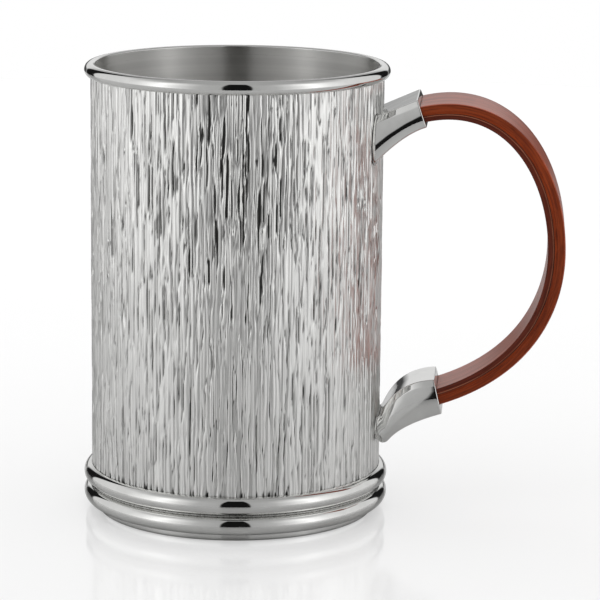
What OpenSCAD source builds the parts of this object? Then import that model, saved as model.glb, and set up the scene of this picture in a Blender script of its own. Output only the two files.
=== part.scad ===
// Lidless pewter tankard: a bark-cast barrel with a rolled rim and a beaded
// foot, and a laminated wooden strap handle held in two cast pewter sockets.
// Millimetres, +Z up. The origin is on the barrel's axis at table level, and
// the handle reaches out along +X.

/* [Barrel] */
// Height of the whole tankard, table to rim
overall_h = 131; // [118:1:160]
// Radius over the bark ridges
barrel_r = 42.3; // [37:0.1:52]
// Wall thickness of the barrel
wall = 1.4; // [1:0.1:2.5]
// Height of the barrel's lower edge above the table
barrel_lift = 2.2; // [1.5:0.1:4]

/* [Rim] */
// Radius of the rolled rim's round section
rim_tube_r = 2; // [1.7:0.05:2.6]
// How far the rim stands out past the bark
rim_overhang = 1.7; // [1.3:0.1:2.1]
// How far the barrel's top edge reaches above the underside of the rim
rim_seat = 1.2; // [0.8:0.1:1.6]

/* [Foot] */
// Radius of each foot bead's round section
bead_tube_r = 2.7; // [1.8:0.1:3]
// How far the foot beads stand out past the bark
bead_overhang = 2.2; // [1.4:0.1:2.3]
// Height of the lower bead's underside above the table
bead_stand = 2.15; // [1.2:0.05:3]
// Height of the groove between the beads
bead_groove = 0.4; // [0.3:0.1:2]
// How far the wire stands out past the bark
seam_overhang = 0.5; // [0.3:0.1:1.3]
// How far the standing lip is set in from the bark
lip_inset = 1.8; // [1.5:0.1:4]
// Radial thickness of the foot ring
foot_wall = 3.4; // [2:0.1:8]
// Height of the foot ring, table to the underside of the base
foot_ring_h = 6.5; // [4:0.1:9]
// Rounding of the edge that the tankard stands on
foot_round = 0.5; // [0.2:0.1:0.8]
// Thickness of the base disc
base_t = 2.2; // [1.5:0.1:4]
// Leg of the solder fillet round the inside of the base
floor_fillet = 1; // [0.5:0.1:2]

/* [Handle strap] */
// Farthest reach of the strap's centreline past the bark
strap_reach = 50.36; // [40:0.02:64]
// Height of that farthest point
strap_reach_z = 78.8; // [70:0.2:88]
// Height of the strap's upper end
strap_top_z = 115.9; // [112:0.1:118]
// Rise of the strap as it leaves the upper socket, degrees
strap_top_angle = 23.9; // [18:0.1:30]
// Height of the strap's lower end
strap_low_z = 33.5; // [31:0.1:36]
// Slope of the strap's lower end, degrees
strap_low_angle = 12.4; // [8:0.1:16]
// Gap between the strap's upper end and the bark
strap_top_gap = 3.7; // [3.2:0.1:5]
// Gap between the strap's lower end and the bark
strap_low_gap = 8.7; // [7.5:0.1:10]
// Length of the tangent that leads out of the upper socket
strap_top_pull = 32.2; // [26:0.1:38]
// Length of the upright tangent above the farthest point
strap_upper_pull = 26.2; // [20:0.1:30]
// Length of the upright tangent below the farthest point
strap_lower_pull = 16.4; // [12:0.1:22]
// Length of the tangent that leads into the lower socket
strap_low_pull = 33.7; // [28:0.1:40]
// Strap thickness at its ends
strap_t = 4.64; // [3.6:0.02:5]
// Extra thickness where the strap stands upright
strap_swell = 0.42; // [0:0.02:1]
// Strap width at the upper socket
strap_w_top = 24.5; // [16:0.5:28]
// Strap width at the lower socket
strap_w_low = 17.5; // [12:0.5:22]
// Share of the thickness in the outer veneer
veneer_share = 0.06; // [0.04:0.01:0.1]
// Share in the outer ply
outer_ply_share = 0.39; // [0.2:0.01:0.42]
// Share in the core ply
core_ply_share = 0.17; // [0.1:0.01:0.2]
// Share in the dark line ply
dark_ply_share = 0.04; // [0.03:0.01:0.06]
// Share in the pale line ply
pale_ply_share = 0.06; // [0.04:0.01:0.1]

/* [Sockets] */
// Least pewter wall beside the strap
socket_side_wall = 1.1; // [0.8:0.1:2]
// How far the upper socket's mouth stands off the bark
upper_mouth_reach = 11.5; // [10:0.1:13]
// Lean of the upper mouth from upright, degrees
upper_mouth_lean = 20; // [10:1:25]
// How far the lower socket's mouth stands off the bark
lower_mouth_reach = 17.4; // [16:0.1:19]
// Lean of the lower mouth from upright, degrees
lower_mouth_lean = 13.5; // [8:0.5:20]
// Rise of the upper mouth's middle over the strap's end
upper_mouth_rise = 2.65; // [2:0.05:3.2]
// Rise of the lower mouth's middle over the strap's end
lower_mouth_rise = 1.85; // [1.4:0.05:2.3]
// Pewter above the strap at the upper mouth
upper_roof_wall = 2.1; // [1.5:0.1:3]
// Pewter above the strap at the lower mouth
lower_roof_wall = 3.4; // [2.6:0.1:4.5]
// Pewter below the strap at the upper mouth
upper_floor_wall = 1.5; // [1.2:0.1:2.5]
// Pewter below the strap at the lower mouth
lower_floor_wall = 2.2; // [1.5:0.1:3]
// Fall of the upper socket's top face towards the bark, degrees
upper_top_fall = 23.5; // [18:0.5:28]
// Height of the upper socket's root, top to bottom
upper_root_h = 15; // [13:0.5:18]
// Height of the lower socket's rounded tip above the table
lower_tip_z = 21.4; // [19:0.1:23]
// Width of the bevel along each socket's top edges
socket_bevel = 1.9; // [1:0.1:2.5]
// Height of that bevel as a share of its width
socket_bevel_rise = 0.85; // [0.6:0.05:1]
// Rounding of each socket's lower edges
socket_round = 1.1; // [0.6:0.1:1.3]
// Swell of each socket's sides
socket_bulge = 0.45; // [0:0.05:0.6]
// Loss of width from the upper mouth to its root
upper_taper = 1; // [0:0.5:3]
// Loss of width from the lower mouth to its neck
lower_taper = 3; // [1:0.5:4]
// Loss of width from the lower neck to its rounded tip
tip_taper = 1; // [0:0.5:2]
// Thickness of the adhesive round the strap
glue_t = 0.3; // [0.2:0.05:0.5]
// Leg of the solder fillet round each socket's root
solder_leg = 0.7; // [0.4:0.1:1]

/* [Hidden] */
// Gap left between soldered or bonded faces
joint_gap = 0.03;
// Bite of a cutter past the face it opens
cut = 1;
// How far the strap's cutter runs past the adhesive's ends, in steps of s along the strap
end_share = 0.04;
// How far inside the bark's surface the castings' shapes begin
root_depth = 4.3;
bore_r = barrel_r - wall;
rim_ring_r = barrel_r + rim_overhang - rim_tube_r;
rim_z = overall_h - rim_tube_r;
barrel_top = rim_z - rim_tube_r + rim_seat;
bead_ring_r = barrel_r + bead_overhang - bead_tube_r;
bead_low_z = bead_stand + bead_tube_r;
bead_pitch = 2 * bead_tube_r + bead_groove;
bead_high_z = bead_low_z + bead_pitch;
seam_z = bead_low_z + bead_pitch / 2;
seam_seat = max(0, barrel_r + joint_gap - bead_ring_r);
bead_half_h = sqrt(pow(bead_tube_r, 2) - pow(seam_seat, 2));
seam_h = bead_pitch - 2 * bead_half_h - joint_gap;
base_z = foot_ring_h + joint_gap;
floor_z = base_z + base_t;
lip_r = barrel_r - lip_inset;
strap_x = barrel_r + strap_reach;
path_steps = 28;
round_steps = 4;
loft_steps = 14;

// ---- strap centreline: two cubic curves that meet upright at the far point

strap_a0 = [barrel_r + strap_top_gap, strap_top_z];
strap_a1 = strap_a0 + strap_top_pull * [cos(strap_top_angle), sin(strap_top_angle)];
strap_a2 = [strap_x, strap_reach_z + strap_upper_pull];
strap_m = [strap_x, strap_reach_z];
strap_b1 = [strap_x, strap_reach_z - strap_lower_pull];
strap_b3 = [barrel_r + strap_low_gap, strap_low_z];
strap_b2 = strap_b3 + strap_low_pull * [cos(strap_low_angle), sin(strap_low_angle)];

function cubic(p, t) =
    pow(1 - t, 3) * p[0] + 3 * pow(1 - t, 2) * t * p[1]
    + 3 * (1 - t) * t * t * p[2] + pow(t, 3) * p[3];
function cubic_run(p, t) =
    3 * pow(1 - t, 2) * (p[1] - p[0]) + 6 * (1 - t) * t * (p[2] - p[1])
    + 3 * t * t * (p[3] - p[2]);
function quadratic(p, t) =
    pow(1 - t, 2) * p[0] + 2 * (1 - t) * t * p[1] + t * t * p[2];
function unit(v) = v / norm(v);

upper_curve = [strap_a0, strap_a1, strap_a2, strap_m];
lower_curve = [strap_m, strap_b1, strap_b2, strap_b3];

// Point and outward normal at s along the strap: 0 upper end, 1 far point, 2 lower end
function strap_point(s) = s <= 1 ? cubic(upper_curve, s) : cubic(lower_curve, s - 1);
function strap_run(s) = unit(s <= 1 ? cubic_run(upper_curve, s) : cubic_run(lower_curve, s - 1));
function strap_normal(s) = [-strap_run(s)[1], strap_run(s)[0]];
function strap_thick(s) = strap_t + strap_swell * pow(strap_normal(s)[0], 2);

// Point at share u of the thickness (-0.5 inner face, 0.5 outer), pushed out by grow
function strap_edge(s, u, grow) =
    strap_point(s) + strap_normal(s) * (u * strap_thick(s) + grow);

// Half the strap's width at height z, grown by grow
function strap_half_w(z, grow) =
    strap_w_low / 2 + grow
    + (strap_w_top - strap_w_low) / 2 * (z - strap_low_z) / (strap_top_z - strap_low_z);

// Slab of the strap between shares u0 and u1, from s0 to s1, grown all round
module strap_slab(u0, u1, s0 = 0, s1 = 2, grow_in = 0, grow_out = 0, grow_side = 0) {
    steps = ceil(path_steps * (s1 - s0));
    runs = [for (i = [0:steps]) s0 + (s1 - s0) * i / steps];
    outer = [for (s = runs) strap_edge(s, u1, grow_out)];
    inner = [for (i = [steps:-1:0]) strap_edge(runs[i], u0, -grow_in)];
    low = 0;
    high = overall_h;
    intersection() {
        rotate([90, 0, 0])
            linear_extrude(height = 2 * strap_w_top, center = true)
                polygon(concat(outer, inner));
        rotate([90, 0, 90])
            linear_extrude(height = 2 * strap_x)
                polygon([
                    [-strap_half_w(low, grow_side), low],
                    [strap_half_w(low, grow_side), low],
                    [strap_half_w(high, grow_side), high],
                    [-strap_half_w(high, grow_side), high]
                ]);
    }
}

// ---- sockets: horn-shaped castings lofted from the root to the mouth

// Downward direction of a line that leans by angle from upright
function lean(angle) = [sin(angle), -cos(angle)];
// Distance from the strap's centreline to a mouth corner, with that wall
function mouth_half(wall_t) = strap_t / 2 + wall_t;

upper_mouth_c = [barrel_r + upper_mouth_reach, strap_top_z + upper_mouth_rise];
lower_mouth_c = [barrel_r + lower_mouth_reach, strap_low_z + lower_mouth_rise];
upper_mouth_t = upper_mouth_c - mouth_half(upper_roof_wall) * lean(upper_mouth_lean);
upper_mouth_b = upper_mouth_c + mouth_half(upper_floor_wall) * lean(upper_mouth_lean);
lower_mouth_t = lower_mouth_c - mouth_half(lower_roof_wall) * lean(lower_mouth_lean);
lower_mouth_b = lower_mouth_c + mouth_half(lower_floor_wall) * lean(lower_mouth_lean);

// Upper casting: straight along the top, hollowed along the underside
root_x = barrel_r - root_depth;
upper_waist = [5.4, -2.2];
upper_root_t = [root_x, upper_mouth_t[1] - (upper_mouth_t[0] - root_x) * tan(upper_top_fall)];
upper_root_b = upper_root_t - [0, upper_root_h];
upper_top = [upper_root_t, (upper_root_t + upper_mouth_t) / 2, upper_mouth_t];
upper_under = [upper_root_b, [barrel_r, upper_mouth_b[1]] + upper_waist, upper_mouth_b];

// Lower casting: its neck, given from the bark and the tip, then the two hollowed faces
neck_top = [0.6, 8.6];
neck_under = [2.9, 0.8];
lower_hollow = [5, -0.6];
lower_waist = [6.6, -3.6];
tip = [barrel_r, lower_tip_z];
lower_join_t = tip + neck_top;
lower_join_b = tip + neck_under;
lower_top = [lower_join_t, [barrel_r, lower_mouth_t[1]] + lower_hollow, lower_mouth_t];
lower_under = [lower_join_b, [barrel_r, lower_mouth_b[1]] + lower_waist, lower_mouth_b];
// Below the neck it curls back into the barrel
curl_start = [root_x + 2, lower_tip_z + 6.3];
curl_open = [0, 0.5];
curl_top = [0.9, 1.3];
curl_under = [3, 2.6];
lower_root_top = [curl_start + curl_open, lower_join_t - curl_top, lower_join_t];
lower_root_under = [curl_start - curl_open, lower_join_b - curl_under, lower_join_b];

// Half of a socket's section, top centre to bottom centre: flat top, bevelled
// top edge, gently bulged side, rounded lower edge
function half_section(w, h) =
    let (
        bevel_drop = socket_bevel * socket_bevel_rise,
        side_h = h - bevel_drop - socket_round,
        side_x = w / 2 - socket_bulge
    )
    concat(
        [[0, h / 2], [w / 2 - socket_bevel, h / 2]],
        [for (i = [0:round_steps])
            let (v = i / round_steps)
            [w / 2 - socket_bulge * pow(2 * v - 1, 2), h / 2 - bevel_drop - side_h * v]],
        [for (i = [1:round_steps])
            let (a = 90 * i / round_steps)
            [side_x - socket_round * (1 - cos(a)), -h / 2 + socket_round * (1 - sin(a))]],
        [[0, -h / 2]]
    );
function full_section(half) = concat(
    half,
    [for (i = [len(half) - 2:-1:1]) [-half[i][0], half[i][1]]]
);

// Ring of 3-D points for the section between an upper and a lower point
function socket_ring(top, bottom, w, grow) =
    let (
        mid = (top + bottom) / 2,
        up = unit(top - bottom),
        h = norm(top - bottom) + 2 * grow,
        ring = full_section(half_section(w + 2 * grow, h))
    )
    [for (q = ring) [mid[0] + up[0] * q[1], q[0], mid[1] + up[1] * q[1]]];

// Rings along one stretch of a casting, without its last one
function horn_rings(top, under, w0, w1, steps, grow) = [
    for (i = [0:steps - 1])
        let (t = i / steps)
        socket_ring(quadratic(top, t), quadratic(under, t), w0 + (w1 - w0) * t, grow)
];

module skin(rings) {
    n = len(rings[0]);
    last = len(rings) - 1;
    points = [for (ring = rings) for (p = ring) p];
    sides = [for (i = [0:last - 1]) for (j = [0:n - 1])
        let (a = i * n + j, b = i * n + (j + 1) % n)
        each [[a, b, b + n], [a, b + n, a + n]]];
    root_cap = [[for (j = [n - 1:-1:0]) j]];
    mouth_cap = [[for (j = [0:n - 1]) last * n + j]];
    polyhedron(points, concat(sides, root_cap, mouth_cap), convexity = 4);
}

side_add = glue_t + socket_side_wall + socket_bulge;
upper_socket_w = strap_w_top + 2 * side_add;
lower_socket_w = 2 * strap_half_w(lower_mouth_c[1], side_add);
upper_root_w = upper_socket_w - upper_taper;
lower_neck_w = lower_socket_w - lower_taper;
lower_tip_w = lower_neck_w - tip_taper;
curl_steps = 6;

module upper_horn(grow = 0)
    skin(concat(
        horn_rings(upper_top, upper_under, upper_root_w, upper_socket_w, loft_steps, grow),
        [socket_ring(upper_mouth_t, upper_mouth_b, upper_socket_w, grow)]
    ));

module lower_horn(grow = 0)
    skin(concat(
        horn_rings(lower_root_top, lower_root_under, lower_tip_w, lower_neck_w, curl_steps, grow),
        horn_rings(lower_top, lower_under, lower_neck_w, lower_socket_w, loft_steps, grow),
        [socket_ring(lower_mouth_t, lower_mouth_b, lower_socket_w, grow)]
    ));

// Everything on the barrel's side of a leaning mouth
module behind_mouth(mid, angle)
    translate([mid[0], 0, mid[1]])
        rotate([0, -angle, 0])
            translate([-overall_h, -overall_h / 2, -overall_h / 2])
                cube([overall_h, overall_h, overall_h]);

// Places along the strap that lie well outside each socket
upper_clear_s = 0.3;
lower_clear_s = 1.7;

module ring_bar(ring_r, tube_r, z)
    translate([0, 0, z])
        rotate_extrude($fn = 128)
            translate([ring_r, 0])
                circle(r = tube_r, $fn = 48);

module tube(r_out, r_in, z0, z1)
    difference() {
        translate([0, 0, z0])
            cylinder(r = r_out, h = z1 - z0, $fn = 128);
        translate([0, 0, z0 - cut])
            cylinder(r = r_in, h = z1 - z0 + 2 * cut, $fn = 128);
    }

module barrel_clearance()
    translate([0, 0, -cut])
        cylinder(r = barrel_r + joint_gap, h = overall_h + 2 * cut, $fn = 128);

// ---- pieces

module barrel()
    color("gray")
        tube(barrel_r, bore_r, barrel_lift, barrel_top);

module rim_bead()
    color("silver")
        difference() {
            ring_bar(rim_ring_r, rim_tube_r, rim_z);
            translate([0, 0, rim_z - rim_tube_r - cut])
                cylinder(r = bore_r, h = 2 * rim_tube_r + 2 * cut, $fn = 128);
            translate([0, 0, rim_z - rim_tube_r - cut])
                cylinder(r = barrel_r + joint_gap, h = rim_seat + joint_gap + cut, $fn = 128);
        }

module base_disc()
    color("darkgray")
        translate([0, 0, base_z])
            cylinder(r = bore_r - joint_gap, h = base_t, $fn = 128);

module floor_solder()
    color("lightgray")
        rotate_extrude($fn = 128)
            polygon([
                [bore_r - joint_gap, floor_z + joint_gap],
                [bore_r - joint_gap, floor_z + floor_fillet],
                [bore_r - floor_fillet, floor_z + joint_gap]
            ]);

module foot_ring()
    color("gray")
        union() {
            tube(lip_r, bore_r - foot_wall, foot_round, barrel_lift);
            tube(lip_r - foot_round, bore_r - foot_wall, 0, barrel_lift);
            ring_bar(lip_r - foot_round, foot_round, foot_round);
            tube(bore_r - joint_gap, bore_r - foot_wall, barrel_lift, foot_ring_h);
        }

module lower_foot_bead()
    color("silver")
        difference() {
            ring_bar(bead_ring_r, bead_tube_r, bead_low_z);
            barrel_clearance();
        }

module upper_foot_bead()
    color("silver")
        difference() {
            ring_bar(bead_ring_r, bead_tube_r, bead_high_z);
            barrel_clearance();
        }

module foot_seam_wire()
    color("lightgray")
        tube(
            barrel_r + seam_overhang, barrel_r + joint_gap,
            seam_z - seam_h / 2, seam_z + seam_h / 2
        );

module upper_socket()
    color("silver")
        difference() {
            upper_horn();
            barrel_clearance();
            strap_slab(-0.5, 0.5, 0, upper_clear_s, glue_t, glue_t, glue_t);
        }

module lower_socket()
    color("silver")
        difference() {
            lower_horn();
            barrel_clearance();
            strap_slab(-0.5, 0.5, lower_clear_s, 2, glue_t, glue_t, glue_t);
        }

module upper_solder()
    color("lightgray")
        difference() {
            intersection() {
                upper_horn(solder_leg);
                tube(barrel_r + solder_leg, barrel_r + joint_gap, 0, overall_h);
            }
            upper_horn(joint_gap);
        }

module lower_solder()
    color("lightgray")
        difference() {
            intersection() {
                lower_horn(solder_leg);
                tube(barrel_r + solder_leg, barrel_r + joint_gap, 0, overall_h);
            }
            lower_horn(joint_gap);
        }

// Adhesive bed round a strap end, flush with its socket's mouth
module adhesive(s0, s1, mid, angle) {
    bed_t = glue_t - joint_gap;
    color("black")
        difference() {
            intersection() {
                strap_slab(-0.5, 0.5, s0, s1, bed_t, bed_t, bed_t);
                behind_mouth(mid, angle);
            }
            strap_slab(-0.5, 0.5, s0 - end_share, s1 + end_share, joint_gap, joint_gap, joint_gap);
        }
}

module upper_adhesive() adhesive(0, upper_clear_s, upper_mouth_c, upper_mouth_lean);
module lower_adhesive() adhesive(lower_clear_s, 2, lower_mouth_c, lower_mouth_lean);

u_veneer = 0.5 - veneer_share;
u_outer = u_veneer - outer_ply_share;
u_core = u_outer - core_ply_share;
u_dark = u_core - dark_ply_share;
u_pale = u_dark - pale_ply_share;

module outer_veneer() color("saddlebrown") strap_slab(u_veneer, 0.5);
module outer_ply() color("sienna") strap_slab(u_outer, u_veneer);
module core_ply() color("firebrick") strap_slab(u_core, u_outer);
module dark_line_ply() color("maroon") strap_slab(u_dark, u_core);
module pale_line_ply() color("peru") strap_slab(u_pale, u_dark);
module inner_ply() color("brown") strap_slab(-0.5, u_pale);

barrel();
rim_bead();
base_disc();
floor_solder();
foot_ring();
lower_foot_bead();
upper_foot_bead();
foot_seam_wire();
upper_socket();
lower_socket();
upper_solder();
lower_solder();
upper_adhesive();
lower_adhesive();
outer_veneer();
outer_ply();
core_ply();
dark_line_ply();
pale_line_ply();
inner_ply();
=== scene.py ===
import math

import bpy
import numpy as np
from bpy.props import FloatProperty, FloatVectorProperty, IntProperty, PointerProperty
from mathutils import Matrix, Vector


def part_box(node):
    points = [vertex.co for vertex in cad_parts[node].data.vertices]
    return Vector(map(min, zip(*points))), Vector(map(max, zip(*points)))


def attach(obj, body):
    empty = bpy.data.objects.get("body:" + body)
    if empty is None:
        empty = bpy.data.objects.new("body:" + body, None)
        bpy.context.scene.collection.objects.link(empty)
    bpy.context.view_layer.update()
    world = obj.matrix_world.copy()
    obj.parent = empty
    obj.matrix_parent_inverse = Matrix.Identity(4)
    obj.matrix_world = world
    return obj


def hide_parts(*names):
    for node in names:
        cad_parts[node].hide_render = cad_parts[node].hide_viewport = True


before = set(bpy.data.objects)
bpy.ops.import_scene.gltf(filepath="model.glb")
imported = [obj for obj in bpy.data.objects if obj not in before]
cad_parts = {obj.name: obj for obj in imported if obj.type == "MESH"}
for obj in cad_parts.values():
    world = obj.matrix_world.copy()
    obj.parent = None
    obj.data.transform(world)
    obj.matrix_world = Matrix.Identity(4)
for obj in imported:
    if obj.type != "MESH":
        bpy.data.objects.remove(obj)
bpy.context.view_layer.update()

bl_info = {
    "name": "Bark pewter tankard",
    "version": (1, 0, 0),
    "blender": (4, 5, 0),
    "location": "3D View > Sidebar > Tankard",
    "description": "Finished surfaces for a bark-cast tankard with a laminated wooden handle",
    "category": "Object",
}

MM = 0.001
BODY = "root"
GAP = 0.03 * MM
# Start of the finishes' names, which sets them apart from the frame's own materials
FINISH = "finish_"

BARREL_LOW, BARREL_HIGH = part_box("barrel")
RIM_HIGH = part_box("rim_bead")[1]
DISC_LOW, DISC_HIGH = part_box("base_disc")
FOOT_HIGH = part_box("foot_ring")[1]
WIRE_LOW, WIRE_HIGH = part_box("foot_seam_wire")
SOLDER_LOW, SOLDER_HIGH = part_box("floor_solder")
VENEER_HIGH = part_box("outer_veneer")[1]
BARREL_R = BARREL_HIGH.x
BORE_R = DISC_HIGH.x + GAP

# Castings: places given from the bark, the tip and the mouth
ROOT_DEPTH = 4.3 * MM
UPPER_WAIST = np.array([5.4, -2.2]) * MM
UPPER_TAPER = 1 * MM
NECK_TOP = np.array([0.6, 8.6]) * MM
NECK_UNDER = np.array([2.9, 0.8]) * MM
LOWER_HOLLOW = np.array([5, -0.6]) * MM
LOWER_WAIST = np.array([6.6, -3.6]) * MM
LOWER_TAPER = 3 * MM
TIP_TAPER = 1 * MM
CURL_START = np.array([2, 6.3]) * MM
CURL_OPEN = np.array([0, 0.5]) * MM
CURL_TOP = np.array([0.9, 1.3]) * MM
CURL_UNDER = np.array([3, 2.6]) * MM
UPPER_MORTISE = 8.6 * MM
LOWER_MORTISE = 9.3 * MM
BEVEL_RISE = 0.85
# Share of a rounding at which its holding points stand
HOLD = 1.6
# Outline columns that meet the mortise's corners
TOP_CORNER, LOW_CORNER = 8, 23

# Bark strokes: ranges of half width and half length in millimetres, and the columns they reach
RIDGE_HALF_W, RIDGE_HALF_L, RIDGE_REACH = (0.28, 0.76), (3, 15), 7
SLOT_HALF_W, SLOT_HALF_L, SLOT_REACH = (0.26, 0.56), (1.5, 8), 5
NOTCH_HALF_W, NOTCH_HALF_L, NOTCH_REACH = (0.25, 0.42), (1.5, 2.4), 4
# Shares of the half width over which a ridge's shoulder and a slot's wall rise
SHOULDER, SLOT_WALL = 0.22, 0.5
# Groove round a ridge: its place past the outline, its spread and its lowest floor
GROOVE_PLACE, GROOVE_SPREAD, GROOVE_END, GROOVE_FLOOR = 0.02, 0.24, 0.5, 0.1
# Shares of the height where the slots are densest and where the front cluster lies
DENSEST, CLUSTER_HIGH = 0.8, 0.78
# Share of the turn at which the front cluster lies, and its spread
CLUSTER_TURN, CLUSTER_SPREAD = 0.765, 0.022
CORDS, CORD_DEPTH = 14, 0.014
# How far the bark runs in under the foot bead and the rim
BARK_TUCK = 0.8 * MM

TABLE_RINGS, TABLE_SIDES = 5, 96
# Studio light round the horizon: degrees from the camera's bearing, and brightness
WALLS = [
    (0, 0.008), (10.9, 0.008), (11.7, 0.44), (30, 0.52), (45, 0.85), (60, 1.35), (75, 1.0),
    (90, 0.8), (134, 0.75), (136.5, 0.01), (154, 0.01), (158, 0.75), (180, 0.8),
]
# Brightness of the strip low at the back, the back higher up, the upper walls and the zenith
LOW_BACK, HIGH_BACK, UPPER_WALLS, ZENITH = 0.06, 0.4, 0.42, 0.42
WHITE = (1.0, 1.0, 1.0)


def distance(name, description, millimetres):
    """Length property whose default is given in millimetres."""
    return FloatProperty(
        name=name, description=description, default=millimetres * MM,
        subtype="DISTANCE", unit="LENGTH", precision=5,
    )


def angle(name, description, degrees):
    """Angle property whose default is given in degrees."""
    return FloatProperty(
        name=name, description=description, default=math.radians(degrees),
        subtype="ANGLE", unit="ROTATION",
    )


def count_of(name, description, default):
    """Property that holds a whole number."""
    return IntProperty(name=name, description=description, default=default)


def colour(name, description, default):
    """Colour property, linear red, green and blue."""
    return FloatVectorProperty(
        name=name, description=description, default=default, min=0, max=1, size=3, subtype="COLOR",
    )


class BarkSizes(bpy.types.PropertyGroup):
    """Cast bark relief of the barrel."""

    depth: distance("Depth", "Depth of the deepest groove below the ridges", 0.6)
    columns: count_of("Columns", "Mesh columns round the barrel", 1120)
    rows: count_of("Rows", "Mesh rows up the barrel", 82)
    plates: count_of("Ridges", "Number of overlapping ridges", 5000)
    slots: count_of("Slots", "Number of deep slots", 300)
    cluster: count_of("Cluster", "Slots gathered high on the front", 46)
    notches: count_of("Notches", "Short cuts along the foot bead", 130)
    seed: count_of("Seed", "Seed of the ridges' places", 7)


class TurnedSizes(bpy.types.PropertyGroup):
    """Round sections of the rim and foot."""

    rim_tube: distance("Rim tube", "Radius of the rolled rim's section", 2.0)
    rim_arris: distance("Rim arris", "Rounding of the rim's inner lip", 0.2)
    rim_seat: distance("Rim seat", "Depth of the barrel's seat in the rim", 1.2)
    bead_tube: distance("Bead tube", "Radius of each foot bead's section", 2.7)
    wire_round: distance("Wire rounding", "Rounding of the groove wire's edges", 0.2)
    lip_round: distance("Lip rounding", "Rounding of the standing edge", 0.5)
    foot_wall: distance("Foot wall", "Thickness of the foot ring", 3.4)
    lip_inset: distance("Lip inset", "Step of the standing lip in from the bark", 1.8)
    segments: count_of("Segments", "Facets round each turned piece", 288)


class StrapSizes(bpy.types.PropertyGroup):
    """Curve and section of the laminated strap."""

    thick: distance("Thickness", "Thickness of the strap at its ends", 4.64)
    swell: distance("Swell", "Extra thickness where it stands upright", 0.42)
    reach_z: distance("Reach height", "Height of the farthest point", 78.8)
    top_gap: distance("Top gap", "Upper end to the bark", 3.7)
    top_z: distance("Top height", "Height of the upper end", 115.9)
    top_angle: angle("Top angle", "Rise at the upper end", 23.9)
    low_gap: distance("Low gap", "Lower end to the bark", 8.7)
    low_z: distance("Low height", "Height of the lower end", 33.5)
    low_angle: angle("Low angle", "Slope at the lower end", 12.4)
    width_top: distance("Top width", "Width at the upper end", 24.5)
    width_low: distance("Low width", "Width at the lower end", 17.5)
    edge_round: distance("Edge rounding", "Rounding of the strap's long edges", 0.3)
    ply_round: distance("Ply rounding", "Rounding of the edges between plies", 0.05)


class SocketSizes(bpy.types.PropertyGroup):
    """Two cast sockets that hold the strap."""

    side_wall: distance("Side wall", "Pewter beside the strap", 0.75)
    glue: distance("Glue", "Clearance round the strap", 0.3)
    upper_reach: distance("Upper reach", "Upper mouth off the bark", 11.5)
    upper_rise: distance("Upper rise", "Upper mouth over the strap's end", 2.65)
    upper_lean: angle("Upper lean", "Upper mouth from upright", 20)
    upper_roof: distance("Upper roof", "Pewter above the strap at the upper mouth", 2.1)
    upper_floor: distance("Upper floor", "Pewter below the strap at the upper mouth", 1.5)
    upper_fall: angle("Upper fall", "Fall of the upper casting's top face", 23.5)
    upper_root: distance("Upper root", "Height of the upper casting's root", 15)
    lower_reach: distance("Lower reach", "Lower mouth off the bark", 17.4)
    lower_rise: distance("Lower rise", "Lower mouth over the strap's end", 1.85)
    lower_lean: angle("Lower lean", "Lower mouth from upright", 13.5)
    lower_roof: distance("Lower roof", "Pewter above the strap at the lower mouth", 3.4)
    lower_floor: distance("Lower floor", "Pewter below the strap at the lower mouth", 2.2)
    lower_tip: distance("Lower tip", "Height of the lower casting's tip", 21.4)
    bevel: distance("Bevel", "Bevel along the top edges", 1.9)
    arris: distance("Arris", "Softening of the bevel's edges", 0.22)
    low_round: distance("Lower rounding", "Rounding of the lower edges", 1.1)
    bulge: distance("Bulge", "Swell of the sides", 0.8)
    mouth_round: distance("Mouth rounding", "Rounding round the mouth", 0.28)
    solder_leg: distance("Solder leg", "Leg of the fillet on the barrel", 0.7)


class Finishes(bpy.types.PropertyGroup):
    """Colours of the finished surfaces."""

    pewter: colour("Pewter", "Polished pewter", (0.80, 0.80, 0.785))
    # Crevice colour: patina and painted shade, the near black laid down in the bark's hollows where
    # shade falls
    crevice_patina_and_shade: colour("Crevice", "Patina down in the bark", (0.05, 0.05, 0.048))
    turned: colour("Turned pewter", "Satin pewter inside", (0.80, 0.795, 0.775))
    solder: colour("Solder", "Solder fillets", (0.62, 0.62, 0.60))
    glue: colour("Glue", "Adhesive line", (0.02, 0.014, 0.012))
    # Veneer colour: the wood's own tone lightened with painted sheen, standing in for the lacquer's
    # glare on the outer face
    veneer_and_sheen: colour("Veneer", "Outer veneer", (0.42, 0.098, 0.050))
    outer: colour("Outer ply", "Broad red-brown ply", (0.22, 0.034, 0.006))
    core: colour("Core ply", "Orange-red ply", (0.22, 0.030, 0.003))
    dark: colour("Dark ply", "Thin dark line", (0.035, 0.008, 0.005))
    pale: colour("Pale ply", "Thin pale line", (0.26, 0.085, 0.045))
    inner: colour("Inner ply", "Dark maroon ply", (0.13, 0.022, 0.009))
    # Inner face colour: the inner ply's wood lightened with painted sheen, standing in for the lacquer's
    # glare; the ply's sides keep the dark maroon
    lining_and_sheen: colour("Inner face", "Brown face inside the strap", (0.50, 0.125, 0.066))


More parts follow.
